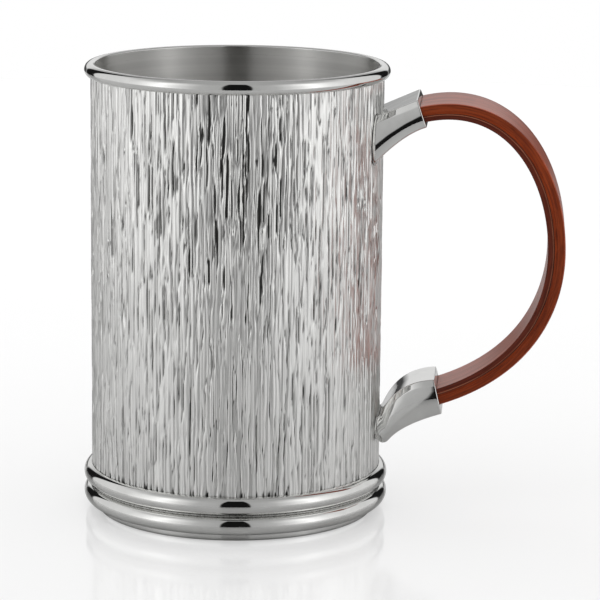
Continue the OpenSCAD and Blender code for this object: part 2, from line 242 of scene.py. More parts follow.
class StageSizes(bpy.types.PropertyGroup):
    """Table, studio light and camera."""

    azimuth: angle("Camera azimuth", "Camera's turn round the tankard", 5.4)
    stand_off: distance("Stand-off", "Level distance from camera to axis", 847.727)
    height: distance("Height", "Camera height above the table", 236.7)
    tilt: FloatProperty(name="Tilt", description="Camera's look down", default=0.20395, subtype="ANGLE")
    pan: FloatProperty(
        name="Pan", description="Turn to the right of the axis", default=0.0219, subtype="ANGLE",
    )
    roll: FloatProperty(name="Roll", description="Camera's roll", default=-0.00952, subtype="ANGLE")
    lens: distance("Lens", "Focal length for a 36 mm wide sensor", 177.843)
    floor_reach: distance("Floor reach", "Radius of the table", 640)
    floor_front: distance("Floor front", "Table's front edge to the tankard's axis", 310)
    strength: FloatProperty(name="Light", description="Strength of the studio light", default=1.0, min=0)
    fill: FloatProperty(name="Fill", description="Even light on dull surfaces", default=1.05, min=0)


# ---- meshes

def faces_of(rows, columns, wrap_rows=True, wrap_columns=True):
    """Quads of a grid whose point (i, j) is number i * columns + j; either way may close on itself."""
    i = np.arange(rows if wrap_rows else rows - 1)[:, None]
    j = np.arange(columns if wrap_columns else columns - 1)[None, :]
    next_i, next_j = (i + 1) % rows, (j + 1) % columns
    corners = [i * columns + j, next_i * columns + j, next_i * columns + next_j, i * columns + next_j]
    return np.stack([np.broadcast_to(c, (i.size, j.size)) for c in corners], -1).reshape(-1, 4)


def fan(ring, centre):
    """Triangles from each edge of a closed ring of point numbers to the point numbered centre."""
    ring = np.asarray(ring)
    return np.stack([ring, np.roll(ring, -1), np.full(ring.size, centre)], -1)


def volume_of(points, faces):
    """Signed volume: the sum over faces of the tetrahedra that each makes with the origin."""
    total = 0.0
    for k in range(1, faces.shape[1] - 1):
        a, b, c = points[faces[:, 0]], points[faces[:, k]], points[faces[:, k + 1]]
        total += float(np.einsum("ij,ij->i", a, np.cross(b, c)).sum())
    return total / 6


def make_piece(name, points, face_sets, finishes, node_name, sharp, finish_of_face=None, attributes=()):
    """Closed solid from points and arrays of faces, riding on the body and standing for its CAD
    node. The first finish names its slot, and a finer one can be chosen for each face."""
    points = np.asarray(points, float).reshape(-1, 3)
    if sum(volume_of(points, f) for f in face_sets) < 0:
        face_sets = [f[:, ::-1] for f in face_sets]
    mesh = bpy.data.meshes.new(name)
    mesh.from_pydata(points.tolist(), [], [row for f in face_sets for row in f.tolist()])
    if mesh.validate():
        raise ValueError(f"{name}: the mesh had faults")
    for key, kind, values in attributes:
        layer = mesh.attributes.new(key, kind, "POINT")
        part = "value" if kind == "FLOAT" else "vector"
        layer.data.foreach_set(part, np.asarray(values, np.float32).ravel())
    for key in finishes:
        mesh.materials.append(material_for(key))
    if finish_of_face is not None:
        mesh.polygons.foreach_set("material_index", np.asarray(finish_of_face, np.int32))
    mesh.shade_smooth()
    mesh.set_sharp_from_angle(angle=math.radians(sharp))
    piece = bpy.data.objects.new(name, mesh)
    bpy.context.scene.collection.objects.link(piece)
    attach(piece, BODY)
    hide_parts(node_name)


# ---- profiles

def arc(centre, radius, start, end, count):
    """Points on a circle from the start to the end angle, in degrees, both ends included."""
    a = np.radians(np.linspace(start, end, count))
    return np.stack([centre[0] + radius * np.cos(a), centre[1] + radius * np.sin(a)], -1)


def softened(corners, radii, count=4, hold=0.6):
    """Closed outline with each corner cut by a quadratic curve that starts and ends one radius away.
    A holding point stands a share of the radius further along each side, to keep flats flat."""
    corners = np.asarray(corners, float)
    radii = np.asarray(radii, float)[:, None]
    before = np.roll(corners, 1, 0) - corners
    after = np.roll(corners, -1, 0) - corners
    before /= np.linalg.norm(before, axis=1)[:, None]
    after /= np.linalg.norm(after, axis=1)[:, None]
    a, b = corners + before * radii, corners + after * radii
    t = np.linspace(0, 1, count)[None, :, None]
    curve = (1 - t) ** 2 * a[:, None] + 2 * t * (1 - t) * corners[:, None] + t**2 * b[:, None]
    first = (a + before * radii * hold)[:, None]
    last = (b + after * radii * hold)[:, None]
    return np.concatenate([first, curve, last], 1).reshape(-1, 2)


def lathe(profile, count):
    """Closed profile turned about Z: (r, z) goes to (r cos a, r sin a, z) at count even angles."""
    a = (np.arange(count) * 2 * np.pi / count)[:, None]
    r, z = profile[None, :, 0], profile[None, :, 1]
    return np.stack([r * np.cos(a), r * np.sin(a), z + 0 * a], -1)


def turned_piece(name, profile, count, finish, node_name):
    """Solid of revolution that stands for one CAD node."""
    faces = faces_of(count, len(profile))
    make_piece(name, lathe(profile, count), [faces], [finish], node_name, 50)


# ---- material nodes

def node(tree, kind, inputs=None, **settings):
    """New shader node with its settings and inputs set; a linked input is given as a socket."""
    made = tree.nodes.new(kind)
    for key, value in settings.items():
        setattr(made, key, value)
    for key, value in (inputs or {}).items():
        feed(tree, made.inputs[key], value)
    return made


def feed(tree, entry, value):
    """Links a socket to an input, or sets the input to a plain value."""
    if isinstance(value, bpy.types.NodeSocket):
        tree.links.new(value, entry)
    else:
        entry.default_value = value


def calculate(tree, operation, *values):
    """Math node on one or two values."""
    return node(tree, "ShaderNodeMath", dict(enumerate(values)), operation=operation).outputs[0]


def rgba(rgb, scale=1.0):
    """Colour with full alpha, scaled and held below 1."""
    return tuple(min(1.0, c * scale) for c in rgb) + (1.0,)


def ramp(tree, factor, stops):
    """Colour ramp through stops of (place, colour)."""
    made = node(tree, "ShaderNodeValToRGB", {"Fac": factor})
    elements = made.color_ramp.elements
    while len(elements) > 1:
        elements.remove(elements[-1])
    elements[0].position, elements[0].color = stops[0]
    for place, value in stops[1:]:
        elements.new(place).color = value
    return made.outputs["Color"]


def tones(tree, factor, rgb, low, high, from_low=0.3, from_high=0.7):
    """One colour, from a darker share of it to a lighter, as the factor crosses a range."""
    return ramp(tree, factor, [(from_low, rgba(rgb, low)), (from_high, rgba(rgb, high))])


def span(tree, value, low, high, from_low=0.0, from_high=1.0):
    """Value mapped from one range to another, clamped."""
    made = node(tree, "ShaderNodeMapRange", {
        "Value": value, "From Min": from_low, "From Max": from_high, "To Min": low, "To Max": high,
    })
    return made.outputs["Result"]


def streaks(tree, vector, stretch, scale, detail=3.0, roughness=0.6):
    """Noise on coordinates multiplied by stretch."""
    placed = node(tree, "ShaderNodeMapping", {"Vector": vector, "Scale": stretch})
    made = node(tree, "ShaderNodeTexNoise", {
        "Vector": placed.outputs["Vector"], "Scale": scale, "Detail": detail, "Roughness": roughness,
    })
    return made.outputs["Fac"]


def mix(tree, factor, a, b, **settings):
    """Two colours mixed by a factor, each of them a socket or a plain colour."""
    made = node(tree, "ShaderNodeMix", {0: factor}, data_type="RGBA", **settings)
    for entry, value in zip([s for s in made.inputs if s.type == "RGBA"], (a, b)):
        feed(tree, entry, value)
    return [s for s in made.outputs if s.type == "RGBA"][0]


def multiply(tree, a, b):
    """Two colours multiplied."""
    return mix(tree, 1.0, a, b, blend_type="MULTIPLY")


def bump(tree, height, strength, depth, below=None):
    """Bump from a height socket, over an earlier bump if one is given."""
    inputs = {"Height": height, "Strength": strength, "Distance": depth}
    if below is not None:
        inputs["Normal"] = below
    return node(tree, "ShaderNodeBump", inputs).outputs["Normal"]


def begin(name):
    """Empty material tree with a Principled shader wired to the output."""
    material = bpy.data.materials.new(FINISH + name)
    material.use_nodes = True
    tree = material.node_tree
    tree.nodes.clear()
    shader = node(tree, "ShaderNodeBsdfPrincipled")
    out = node(tree, "ShaderNodeOutputMaterial")
    tree.links.new(shader.outputs["BSDF"], out.inputs["Surface"])
    return material, tree, shader


def begin_metal(name):
    """The same, as bare metal."""
    material, tree, shader = begin(name)
    shader.inputs["Metallic"].default_value = 1.0
    return material, tree, shader


def object_place(tree):
    """Coordinates of the piece itself, in metres."""
    return node(tree, "ShaderNodeTexCoord").outputs["Object"]


def ring_place(tree):
    """Coordinates (radius, 0, height), so that a pattern runs as rings round Z."""
    x, y, z = node(tree, "ShaderNodeSeparateXYZ", {"Vector": object_place(tree)}).outputs
    flat = node(tree, "ShaderNodeCombineXYZ", {"X": x, "Y": y})
    radius = node(tree, "ShaderNodeVectorMath", {0: flat.outputs[0]}, operation="LENGTH")
    return node(tree, "ShaderNodeCombineXYZ", {"X": radius.outputs["Value"], "Z": z}).outputs[0]


def link(tree, shader, **sockets):
    """Sockets linked to the shader's inputs of those names, underscores standing for spaces."""
    for key, value in sockets.items():
        tree.links.new(value, shader.inputs[key.replace("_", " ")])


def bark_pewter(finishes):
    """Cast bark: ridges lighter than the hollows, which darken by the bark_depth attribute to patina and
    painted shade, fine upright streaks.
    """
    material, tree, shader = begin_metal("bark_pewter")
    depth = node(tree, "ShaderNodeAttribute", attribute_name="bark_depth").outputs["Fac"]
    place = object_place(tree)
    fine = streaks(tree, place, (1, 1, 0.05), 1500, 4, 0.65)
    broad = streaks(tree, place, (1, 1, 0.12), 420, 2)
    # Painted shade with patina: the colour falls with the bark_depth attribute to the crevice colour in
    # the deepest hollows
    tone = ramp(tree, depth, [
        (0.0, rgba(finishes.pewter, 1.22)), (0.4, rgba(finishes.pewter, 1.14)),
        (0.64, rgba(finishes.pewter, 0.74)), (0.86, rgba(finishes.crevice_patina_and_shade)),
    ])
    grain = tones(tree, fine, WHITE, 0.86, 1, 0.3, 0.6)
    link(tree, shader, Base_Color=multiply(tree, tone, grain))
    link(tree, shader, Roughness=span(tree, depth, 0.28, 0.5))
    first = bump(tree, broad, 0.35, 0.12 * MM)
    link(tree, shader, Normal=bump(tree, fine, 0.5, 0.05 * MM, first))
    return material


def polished_pewter(finishes):
    """Bright pewter with faint rings from the polishing wheel and soft handling marks."""
    material, tree, shader = begin_metal("polished_pewter")
    waves = streaks(tree, object_place(tree), (1, 1, 1), 70, 2)
    marks = streaks(tree, object_place(tree), (1, 1, 1), 160, 4)
    link(tree, shader, Base_Color=tones(tree, marks, finishes.pewter, 0.94, 1.02, 0.35, 0.65))
    link(tree, shader, Roughness=span(tree, marks, 0.025, 0.07, 0.35, 0.65))
    link(tree, shader, Normal=bump(tree, waves, 0.3, 0.1 * MM))
    return material


def turned_pewter(finishes):
    """Satin lathe-turned pewter, its light spread across the tool lines."""
    material, tree, shader = begin_metal("turned_pewter")
    shader.inputs["Anisotropic"].default_value = 1.0
    shader.inputs["Anisotropic Rotation"].default_value = 0.25
    rings = streaks(tree, ring_place(tree), (1, 1, 1), 3600, 3)
    bands = streaks(tree, ring_place(tree), (1, 1, 1), 520, 2)
    link(tree, shader, Base_Color=tones(tree, bands, finishes.turned, 0.9, 1.04))
    link(tree, shader, Roughness=span(tree, bands, 0.31, 0.37, 0.3, 0.7))
    tangent = node(tree, "ShaderNodeTangent", direction_type="RADIAL", axis="Z").outputs["Tangent"]
    link(tree, shader, Normal=bump(tree, rings, 0.25, 0.03 * MM), Tangent=tangent)
    return material


def solder_finish(finishes):
    """Soft solder, duller than the pewter and slightly lumpy."""
    material, tree, shader = begin_metal("solder")
    lumps = streaks(tree, object_place(tree), (1, 1, 1), 900, 4)
    link(tree, shader, Base_Color=tones(tree, lumps, finishes.solder, 0.7, 1.1))
    link(tree, shader, Roughness=span(tree, lumps, 0.18, 0.38))
    link(tree, shader, Normal=bump(tree, lumps, 0.5, 0.12 * MM))
    return material


def glue_finish(finishes):
    """Dark adhesive line."""
    material, tree, shader = begin("adhesive")
    grit = streaks(tree, object_place(tree), (1, 1, 1), 1800, 3)
    link(tree, shader, Base_Color=tones(tree, grit, finishes.glue, 0.6, 1.8))
    shader.inputs["Roughness"].default_value = 0.45
    link(tree, shader, Normal=bump(tree, grit, 0.4, 0.05 * MM))
    return material


def wood_finish(name, rgb, spread, pores, gloss=0.16):
    """Lacquered wood whose grain runs along the strap: attribute strap_grain holds metres
    along, across and through it. Long soft figure, fine fibres and short dark pores."""
    material, tree, shader = begin(name)
    place = node(tree, "ShaderNodeAttribute", attribute_name="strap_grain").outputs["Vector"]
    figure = streaks(tree, place, (0.03, 1, 1), 330, 3)
    fibres = streaks(tree, place, (0.012, 1, 1), 2600, 3, 0.7)
    dots = streaks(tree, place, (0.05, 1, 1), 3400, 1)
    base = ramp(tree, figure, [
        (0.3, rgba(rgb, 1 - spread)), (0.5, rgba(rgb)), (0.7, rgba(rgb, 1 + spread)),
    ])
    thread = ramp(tree, fibres, [(0.36, (0.5, 0.42, 0.38, 1)), (0.6, (1, 1, 1, 1))])
    pitted = tones(tree, dots, WHITE, 1 - pores, 1, 0.3, 0.38)
    link(tree, shader, Base_Color=multiply(tree, multiply(tree, base, thread), pitted))
    link(tree, shader, Roughness=span(tree, fibres, 0.42, 0.3))
    shader.inputs["Specular IOR Level"].default_value = gloss
    shader.inputs["Coat Weight"].default_value = gloss / 2
    shader.inputs["Coat Roughness"].default_value = 0.15
    link(tree, shader, Normal=bump(tree, fibres, 0.35, 0.04 * MM))
    return material


def table_finish():
    """Glossy white table top, lit a little more for the eye than for the pewter's reflections."""
    material, tree, shader = begin("table_white")
    cloud = streaks(tree, object_place(tree), (1, 1, 1), 3, 2)
    link(tree, shader, Base_Color=tones(tree, cloud, WHITE, 0.49, 0.51))
    shader.inputs["Roughness"].default_value = 0.11
    shader.inputs["Emission Color"].default_value = (1, 1, 1, 1)
    seen = node(tree, "ShaderNodeLightPath").outputs["Is Camera Ray"]
    link(tree, shader, Emission_Strength=span(tree, seen, 0.0, 0.43))
    return material


def material_for(key):
    """Finish for a material slot, made the first time that it is asked for."""
    if FINISH + key in bpy.data.materials:
        return bpy.data.materials[FINISH + key]
    finishes = bpy.context.scene.tankard_finishes
    makers = {
        "bark_pewter": bark_pewter, "polished_pewter": polished_pewter,
        "turned_pewter": turned_pewter, "solder": solder_finish, "adhesive": glue_finish,
    }
    if key in makers:
        return makers[key](finishes)
    # The outer veneer's colour is its wood tone lightened with painted sheen
    woods = {
        "veneer_wood": (finishes.veneer_and_sheen, 0.25, 0.5, 0.32), "red_wood": (finishes.outer, 0.22, 0.35),
        "core_wood": (finishes.core, 0.2, 0.3), "dark_wood": (finishes.dark, 0.2, 0.2),
        "pale_wood": (finishes.pale, 0.25, 0.2), "inner_wood": (finishes.inner, 0.25, 0.45),
        "lining_wood_and_sheen": (finishes.lining_and_sheen, 0.25, 0.5, 0.36),
    }
    return wood_finish(key, *woods[key])


# ---- bark

def eased(x):
    """Smooth step from 0 to 1 over that range of x."""
    x = np.clip(x, 0, 1)
    return x * x * (3 - 2 * x)


def stroke(arc_at, z_at, place, half_w, half_l, slant, bow, blunt):
    """Long island on the unrolled barrel: how far each point lies inside its outline, and its
    place across, both as shares of the half width. The outline narrows as the root of 1 less
    the share of the half length raised to blunt; its middle line leans by slant and bows."""
    v = (z_at - place[1]) / half_l
    middle = place[0] + slant * (z_at - place[1]) + bow * (v * v - 0.3)
    narrowing = np.sqrt(np.clip(1 - np.abs(v) ** blunt, 0, 1))
    across = (arc_at - middle) / half_w
    return narrowing - np.abs(across), across


def bark_relief(arc_at, z_at, sizes):
    """Relief on the unrolled barrel, 1 on the tallest ridge and 0 in the deepest slot. Each
    ridge is a stroke laid over the earlier ones, with its own height and sidelong tilt and a
    fine groove round its outline; slots are strokes taken away, denser towards the top and
    gathered high on the front; fine cords are summed waves of the arc."""
    rng = np.random.default_rng(sizes.seed)
    columns, levels = arc_at.size, z_at.size
    pitch = arc_at[1] - arc_at[0]
    length = pitch * columns
    relief = np.full((columns, levels), 0.5)
    z_low, z_high = z_at[0], z_at[-1]
    height = z_high - z_low

    def stamp(place, half_w, half_l, reach):
        """One stroke at a place, with a random lean, bow and end: the points in its window,
        and how far inside and across it each of them lies."""
        slant = rng.normal(0, 0.008)
        bow = rng.normal(0, 0.2) * MM
        blunt = rng.choice([2.0, 4.0, 10.0])
        middle = int(place[0] / pitch)
        window = np.arange(middle - reach, middle + reach + 1)
        rows = np.flatnonzero(np.abs(z_at - place[1]) < half_l)
        inside, across = stroke(
            (window * pitch)[:, None], z_at[rows][None, :], place, half_w, half_l, slant, bow, blunt,
        )
        return np.ix_(window % columns, rows), inside, across

    def cut(at, inside, cutting):
        """Takes a share of the relief away inside a stroke."""
        relief[at] *= 1 - cutting * eased(inside / SLOT_WALL)

    for _ in range(sizes.plates):
        half_w, half_l = rng.uniform(*RIDGE_HALF_W) * MM, rng.uniform(*RIDGE_HALF_L) * MM
        level, tilt = rng.uniform(0.68, 1.0), rng.normal(0, 0.08)
        groove = rng.uniform(0.06, 0.4)
        place = (rng.uniform(0, length), rng.uniform(z_low, z_high))
        at, inside, across = stamp(place, half_w, half_l, RIDGE_REACH)
        cover = eased(inside / SHOULDER)
        line = np.exp(-(((inside + GROOVE_PLACE) / GROOVE_SPREAD) ** 2)) * (inside > -GROOVE_END)
        laid = relief[at] * (1 - cover) + cover * (level + tilt * across)
        relief[at] = np.maximum(laid - groove * line, GROOVE_FLOOR)
    for k in range(sizes.slots + sizes.cluster):
        half_w, half_l = rng.uniform(*SLOT_HALF_W) * MM, rng.uniform(*SLOT_HALF_L) * MM
        cutting = rng.uniform(0.3, 0.9)
        place = (rng.uniform(0, length), rng.triangular(z_low, z_low + DENSEST * height, z_high))
        if k >= sizes.slots:
            turn = rng.normal(CLUSTER_TURN, CLUSTER_SPREAD)
            place = (length * turn, rng.normal(z_low + CLUSTER_HIGH * height, 13 * MM))
            cutting = rng.uniform(0.7, 1.0)
        at, inside, across = stamp(place, half_w, half_l, SLOT_REACH)
        cut(at, inside, cutting)
    for _ in range(sizes.notches):
        cutting = rng.uniform(0.6, 1.0)
        place = (rng.uniform(0, length), z_low + rng.uniform(0, 0.6) * MM)
        half_w, half_l = rng.uniform(*NOTCH_HALF_W) * MM, rng.uniform(*NOTCH_HALF_L) * MM
        at, inside, across = stamp(place, half_w, half_l, NOTCH_REACH)
        cut(at, inside, cutting)
    cords = np.zeros((columns, levels))
    for _ in range(CORDS):
        turns, drift = rng.integers(170, 460), rng.normal(0, 12)
        phase = 2 * np.pi * turns * arc_at[:, None] / length + drift * z_at[None, :] / height
        cords += np.sin(phase + rng.uniform(0, 2 * np.pi))
    return np.clip(relief + CORD_DEPTH * cords, 0, 1)


class TANKARD_OT_barrel(bpy.types.Operator):
    """Cast barrel: bark outside, turned bore inside"""

    bl_idname = "tankard.barrel"
    bl_label = "Barrel"

    def execute(self, context):
        sizes = context.scene.tankard_bark
        low, high = BARREL_LOW.z, BARREL_HIGH.z
        bark_low, bark_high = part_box("upper_foot_bead")[1].z - BARK_TUCK, high - BARK_TUCK
        arc_at = np.arange(sizes.columns) * 2 * np.pi * BARREL_R / sizes.columns
        z_at = np.linspace(bark_low, bark_high, sizes.rows)
        relief = bark_relief(arc_at, z_at, sizes)
        outer_z = np.concatenate([[low], z_at, [high]])
        ends = np.ones((sizes.columns, 1))
        relief = np.concatenate([0.8 * ends, relief, relief[:, -1:]], 1)
        radius = BARREL_R - sizes.depth * (1 - relief)
        inner_z = np.array([high, low])
        radius = np.concatenate([radius, BORE_R * np.ones((sizes.columns, inner_z.size))], 1)
        depth = np.concatenate([1 - relief, np.zeros((sizes.columns, inner_z.size))], 1)
        z = np.concatenate([outer_z, inner_z])
        turn = arc_at[:, None] / BARREL_R
        points = np.stack([radius * np.cos(turn), radius * np.sin(turn), z[None, :] + 0 * turn], -1)
        faces = faces_of(sizes.columns, z.size)
        level = np.arange(faces.shape[0]) % z.size
        make_piece(
            "bark_barrel", points, [faces], ["bark_pewter", "turned_pewter"], "barrel", 75,
            finish_of_face=(level >= outer_z.size - 1).astype(int),
            attributes=[("bark_depth", "FLOAT", depth)],
        )
        return {"FINISHED"}


# ---- turned pieces

class TANKARD_OT_rim(bpy.types.Operator):
    """Rolled rim with its inner lip"""

    bl_idname = "tankard.rim"
    bl_label = "Rim"

    def execute(self, context):
        sizes = context.scene.tankard_turned
        tube = sizes.rim_tube
        ring_r, ring_z = RIM_HIGH.x - tube, RIM_HIGH.z - tube
        seat_z = BARREL_HIGH.z + GAP
        seat_r = BARREL_R + GAP
        under = math.degrees(math.asin((seat_r - ring_r) / tube)) - 90
        arris = sizes.rim_arris
        inward = math.degrees(math.acos((BORE_R + arris - ring_r) / (tube - arris)))
        lip = (BORE_R + arris, ring_z + (tube - arris) * math.sin(math.radians(inward)))
        section = np.concatenate([
            arc((ring_r, ring_z), tube, under, inward, 60),
            arc(lip, arris, inward, 180, 8)[1:],
            [(BORE_R, lip[1] - arris), (BORE_R, seat_z), (seat_r, seat_z)],
        ])
        points = lathe(section, sizes.segments)
        faces = faces_of(sizes.segments, len(section))
        step = np.arange(len(faces)) % len(section)
        bore_face = (step >= len(section) - 4).astype(int)
        make_piece(
            "rolled_rim", points, [faces], ["polished_pewter", "turned_pewter"], "rim_bead", 50,
            finish_of_face=bore_face,
        )
        return {"FINISHED"}


class TANKARD_OT_foot(bpy.types.Operator):
    """Foot ring, its two beads and the wire in the groove between them"""

    bl_idname = "tankard.foot"
    bl_label = "Foot"

    def execute(self, context):
        sizes = context.scene.tankard_turned
        count, polish = sizes.segments, "polished_pewter"
        back = BARREL_R + GAP
        tube = sizes.bead_tube
        for node_name in ("lower_foot_bead", "upper_foot_bead"):
            low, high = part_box(node_name)
            middle = (low.z + high.z) / 2
            ring_r = high.x - tube
            half = math.degrees(math.acos((back - ring_r) / tube))
            section = np.concatenate([
                arc((ring_r, middle), tube, -half, half, 56),
                [(back, middle + tube * 0.5), (back, middle - tube * 0.5)],
            ])
            name = node_name.replace("_foot_bead", "_bead_ring")
            turned_piece(name, section, count, polish, node_name)
        low, high, out = WIRE_LOW.z, WIRE_HIGH.z, WIRE_HIGH.x
        wire = softened(
            [(back, low), (out, low), (out, high), (back, high)],
            [0.02 * MM, sizes.wire_round, sizes.wire_round, 0.02 * MM],
        )
        turned_piece("groove_wire", wire, count, "solder", "foot_seam_wire")
        lip_r = BARREL_R - sizes.lip_inset
        inner_r = BORE_R - sizes.foot_wall
        step_z = BARREL_LOW.z
        ring = softened(
            [(inner_r, 0), (lip_r, 0), (lip_r, step_z), (BORE_R - GAP, step_z),
             (BORE_R - GAP, FOOT_HIGH.z), (inner_r, FOOT_HIGH.z)],
            [sizes.lip_round, sizes.lip_round, 0.05 * MM, 0.05 * MM, 0.1 * MM, 0.1 * MM], 6,
        )
        turned_piece("standing_foot", ring, count, polish, "foot_ring")
        return {"FINISHED"}


class TANKARD_OT_base(bpy.types.Operator):
    """Base disc with shallow lathe rings, and the solder round its inside edge"""

    bl_idname = "tankard.base"
    bl_label = "Base"

    def execute(self, context):
        sizes = context.scene.tankard_turned
        edge_r = DISC_HIGH.x
        top_r = np.linspace(edge_r - 0.1 * MM, 0.8 * MM, 150)
        cut_depth = 0.02 * MM * (1 + np.sin(top_r / (0.9 * MM)))
        top = np.stack([top_r, DISC_HIGH.z - cut_depth], -1)
        under_r = np.linspace(0.8 * MM, edge_r - 0.1 * MM, 150)
        under = np.stack([under_r, DISC_LOW.z + 0.02 * MM * (1 + np.sin(under_r / (0.7 * MM)))], -1)
        edge = [(edge_r, DISC_LOW.z + 0.1 * MM), (edge_r, DISC_HIGH.z - 0.1 * MM)]
        section = np.concatenate([top, under, edge])
        points = lathe(section, sizes.segments)
        count = len(section)
        faces = faces_of(sizes.segments, count)
        hub = top_r.size - 1
        faces = faces[(np.arange(len(faces)) % count) != hub]
        rings = np.arange(sizes.segments) * count
        centres = np.array([[0, 0, section[hub, 1]], [0, 0, section[hub + 1, 1]]])
        total = sizes.segments * count
        points = np.concatenate([points.reshape(-1, 3), centres])
        caps = np.concatenate([fan(rings + hub, total)[:, ::-1], fan(rings + hub + 1, total + 1)])
        make_piece("turned_base", points, [faces, caps[:, ::-1]], ["turned_pewter"], "base_disc", 50)
        corner_r, corner_z = SOLDER_HIGH.x, SOLDER_LOW.z
        leg = SOLDER_HIGH.z - SOLDER_LOW.z
        hollow = arc((corner_r - leg, corner_z + leg), leg * 0.98, 0, -90, 10)
        fillet = np.concatenate([[(corner_r, corner_z)], hollow])
        turned_piece("floor_fillet", fillet, sizes.segments, "solder", "floor_solder")
        return {"FINISHED"}


# ---- strap curve

def bezier(p, t):
    """Cubic through four points: each weighed by its Bernstein share at t."""
    t = np.asarray(t, float)[..., None]
    return (1 - t) ** 3 * p[0] + 3 * (1 - t) ** 2 * t * p[1] + 3 * (1 - t) * t**2 * p[2] + t**3 * p[3]


def bezier_run(p, t):
    """First derivative of the cubic."""
    t = np.asarray(t, float)[..., None]
    return 3 * (1 - t) ** 2 * (p[1] - p[0]) + 6 * (1 - t) * t * (p[2] - p[1]) + 3 * t**2 * (p[3] - p[2])


class StrapCurve:
    """Centreline of the strap in the plane of X and Z: two cubics that meet upright at the
    farthest point. s is 0 at the upper end, 1 at the farthest point and 2 at the lower end."""

    top_pull, top_lift = 32.2 * MM, 26.2 * MM
    low_pull, low_drop = 33.7 * MM, 16.4 * MM

    def __init__(self, sizes):
        self.sizes = sizes
        reach_x = VENEER_HIGH.x - (sizes.thick + sizes.swell) / 2
        turn = np.array([reach_x, sizes.reach_z])
        top = np.array([BARREL_R + sizes.top_gap, sizes.top_z])
        low = np.array([BARREL_R + sizes.low_gap, sizes.low_z])
        rise = np.array([math.cos(sizes.top_angle), math.sin(sizes.top_angle)])
        slope = np.array([math.cos(sizes.low_angle), math.sin(sizes.low_angle)])
        up = np.array([0.0, 1.0])
        self.upper = [top, top + self.top_pull * rise, turn + self.top_lift * up, turn]
        self.lower = [turn, turn - self.low_drop * up, low + self.low_pull * slope, low]

    def at(self, s):
        """Point, outward normal and thickness at s: the normal is the run turned left."""
        s = np.asarray(s, float)
        first = (s <= 1)[..., None]
        point = np.where(first, bezier(self.upper, s), bezier(self.lower, s - 1))
        run = np.where(first, bezier_run(self.upper, s), bezier_run(self.lower, s - 1))
        run /= np.linalg.norm(run, axis=-1)[..., None]
        normal = np.stack([-run[..., 1], run[..., 0]], -1)
        return point, normal, self.sizes.thick + self.sizes.swell * normal[..., 0] ** 2

    def edge(self, s, through, grow=0.0):
        """Point at a share of the thickness, from -0.5 inside to 0.5 outside, pushed out by grow."""
        point, normal, thick = self.at(s)
        return point + normal * (through * thick + grow)[..., None]

    def half_width(self, z):
        """Half the width, which grows evenly with height."""
        sizes = self.sizes
        rise = (z - sizes.low_z) / (sizes.top_z - sizes.low_z)
        return (sizes.width_low + (sizes.width_top - sizes.width_low) * rise) / 2


PLIES = [
    ("veneer_strip", "outer_veneer", "veneer_wood", 0.44, 0.5),
    ("broad_ply", "outer_ply", "red_wood", 0.05, 0.44),
    ("core_strip", "core_ply", "core_wood", -0.12, 0.05),
    ("dark_stringing", "dark_line_ply", "dark_wood", -0.16, -0.12),
    ("pale_stringing", "pale_line_ply", "pale_wood", -0.22, -0.16),
    ("inner_strip", "inner_ply", "inner_wood", -0.5, -0.22),
]


def ply_points(curve, low, high, sizes, steps):
    """Grid of one ply: at each place along the strap, the softened rectangle between two
    shares of the thickness, as wide as the strap there, set square to the centreline."""
    s = np.linspace(0, 2, steps)
    point, normal, thick = curve.at(s)
    edge, between = sizes.edge_round, sizes.ply_round
    rounding = [edge if high == 0.5 else between, edge if low == -0.5 else between]
    mean = thick.mean()
    rounding = [min(r, (high - low) * mean * 0.42) for r in rounding]
    unit = 10 * MM
    box = [(-unit, low * mean), (unit, low * mean), (unit, high * mean), (-unit, high * mean)]
    outline = softened(box, [rounding[1], rounding[1], rounding[0], rounding[0]], 5)
    inset = unit - np.abs(outline[:, 0])
    side = np.sign(outline[:, 0])
    through = outline[:, 1] / mean
    middle = point[:, None] + normal[:, None] * (through[None, :] * thick[:, None])[..., None]
    half = curve.half_width(middle[..., 1])
    across = side[None, :] * (half - inset[None, :])
    points = np.stack([middle[..., 0], across, middle[..., 1]], -1)
    travel = np.concatenate([[0], np.cumsum(np.linalg.norm(np.diff(point, axis=0), axis=1))])
    grain = np.stack([
        np.broadcast_to(travel[:, None], across.shape), across,
        through[None, :] * thick[:, None] + 0 * across,
    ], -1)
    return points, grain


class TANKARD_OT_strap(bpy.types.Operator):
    """Laminated wooden strap, ply by ply"""

    bl_idname = "tankard.strap"
    bl_label = "Strap"

    steps: count_of("Steps", "Places along the strap", 150)

    def execute(self, context):
        sizes = context.scene.tankard_strap
        curve = StrapCurve(sizes)
        for name, node_name, wood, low, high in PLIES:
            points, grain = ply_points(curve, low, high, sizes, self.steps)
            rows, count = points.shape[:2]
            sides = faces_of(rows, count, wrap_rows=False)
            total = rows * count
            ends = points[[0, -1]].mean(1)
            caps = np.concatenate([
                fan(np.arange(count)[::-1], total), fan(np.arange(count) + total - count, total + 1),
            ])
            every = np.concatenate([points.reshape(-1, 3), ends])
            finishes, chosen = [wood], None
            # The inner face gets a lighter copy of the inner ply's wood: painted sheen
            if low == -0.5:
                depth = grain[0, :, 2]
                flat = depth < depth.min() + 0.01 * MM
                inside = np.tile(flat & np.roll(flat, -1), rows - 1)
                chosen = np.concatenate([inside, np.zeros(len(caps), bool)]).astype(int)
                finishes.append("lining_wood_and_sheen")
            lay = np.concatenate([grain.reshape(-1, 3), grain[[0, -1]].mean(1)])
            make_piece(
                name, every, [sides, caps[:, ::-1]], finishes, node_name, 60,
                finish_of_face=chosen, attributes=[("strap_grain", "FLOAT_VECTOR", lay)],
            )
        for name in ("upper_adhesive", "lower_adhesive"):
            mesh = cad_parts[name].data
            mesh.materials.clear()
            mesh.materials.append(material_for("adhesive"))
        return {"FINISHED"}


# ---- sockets

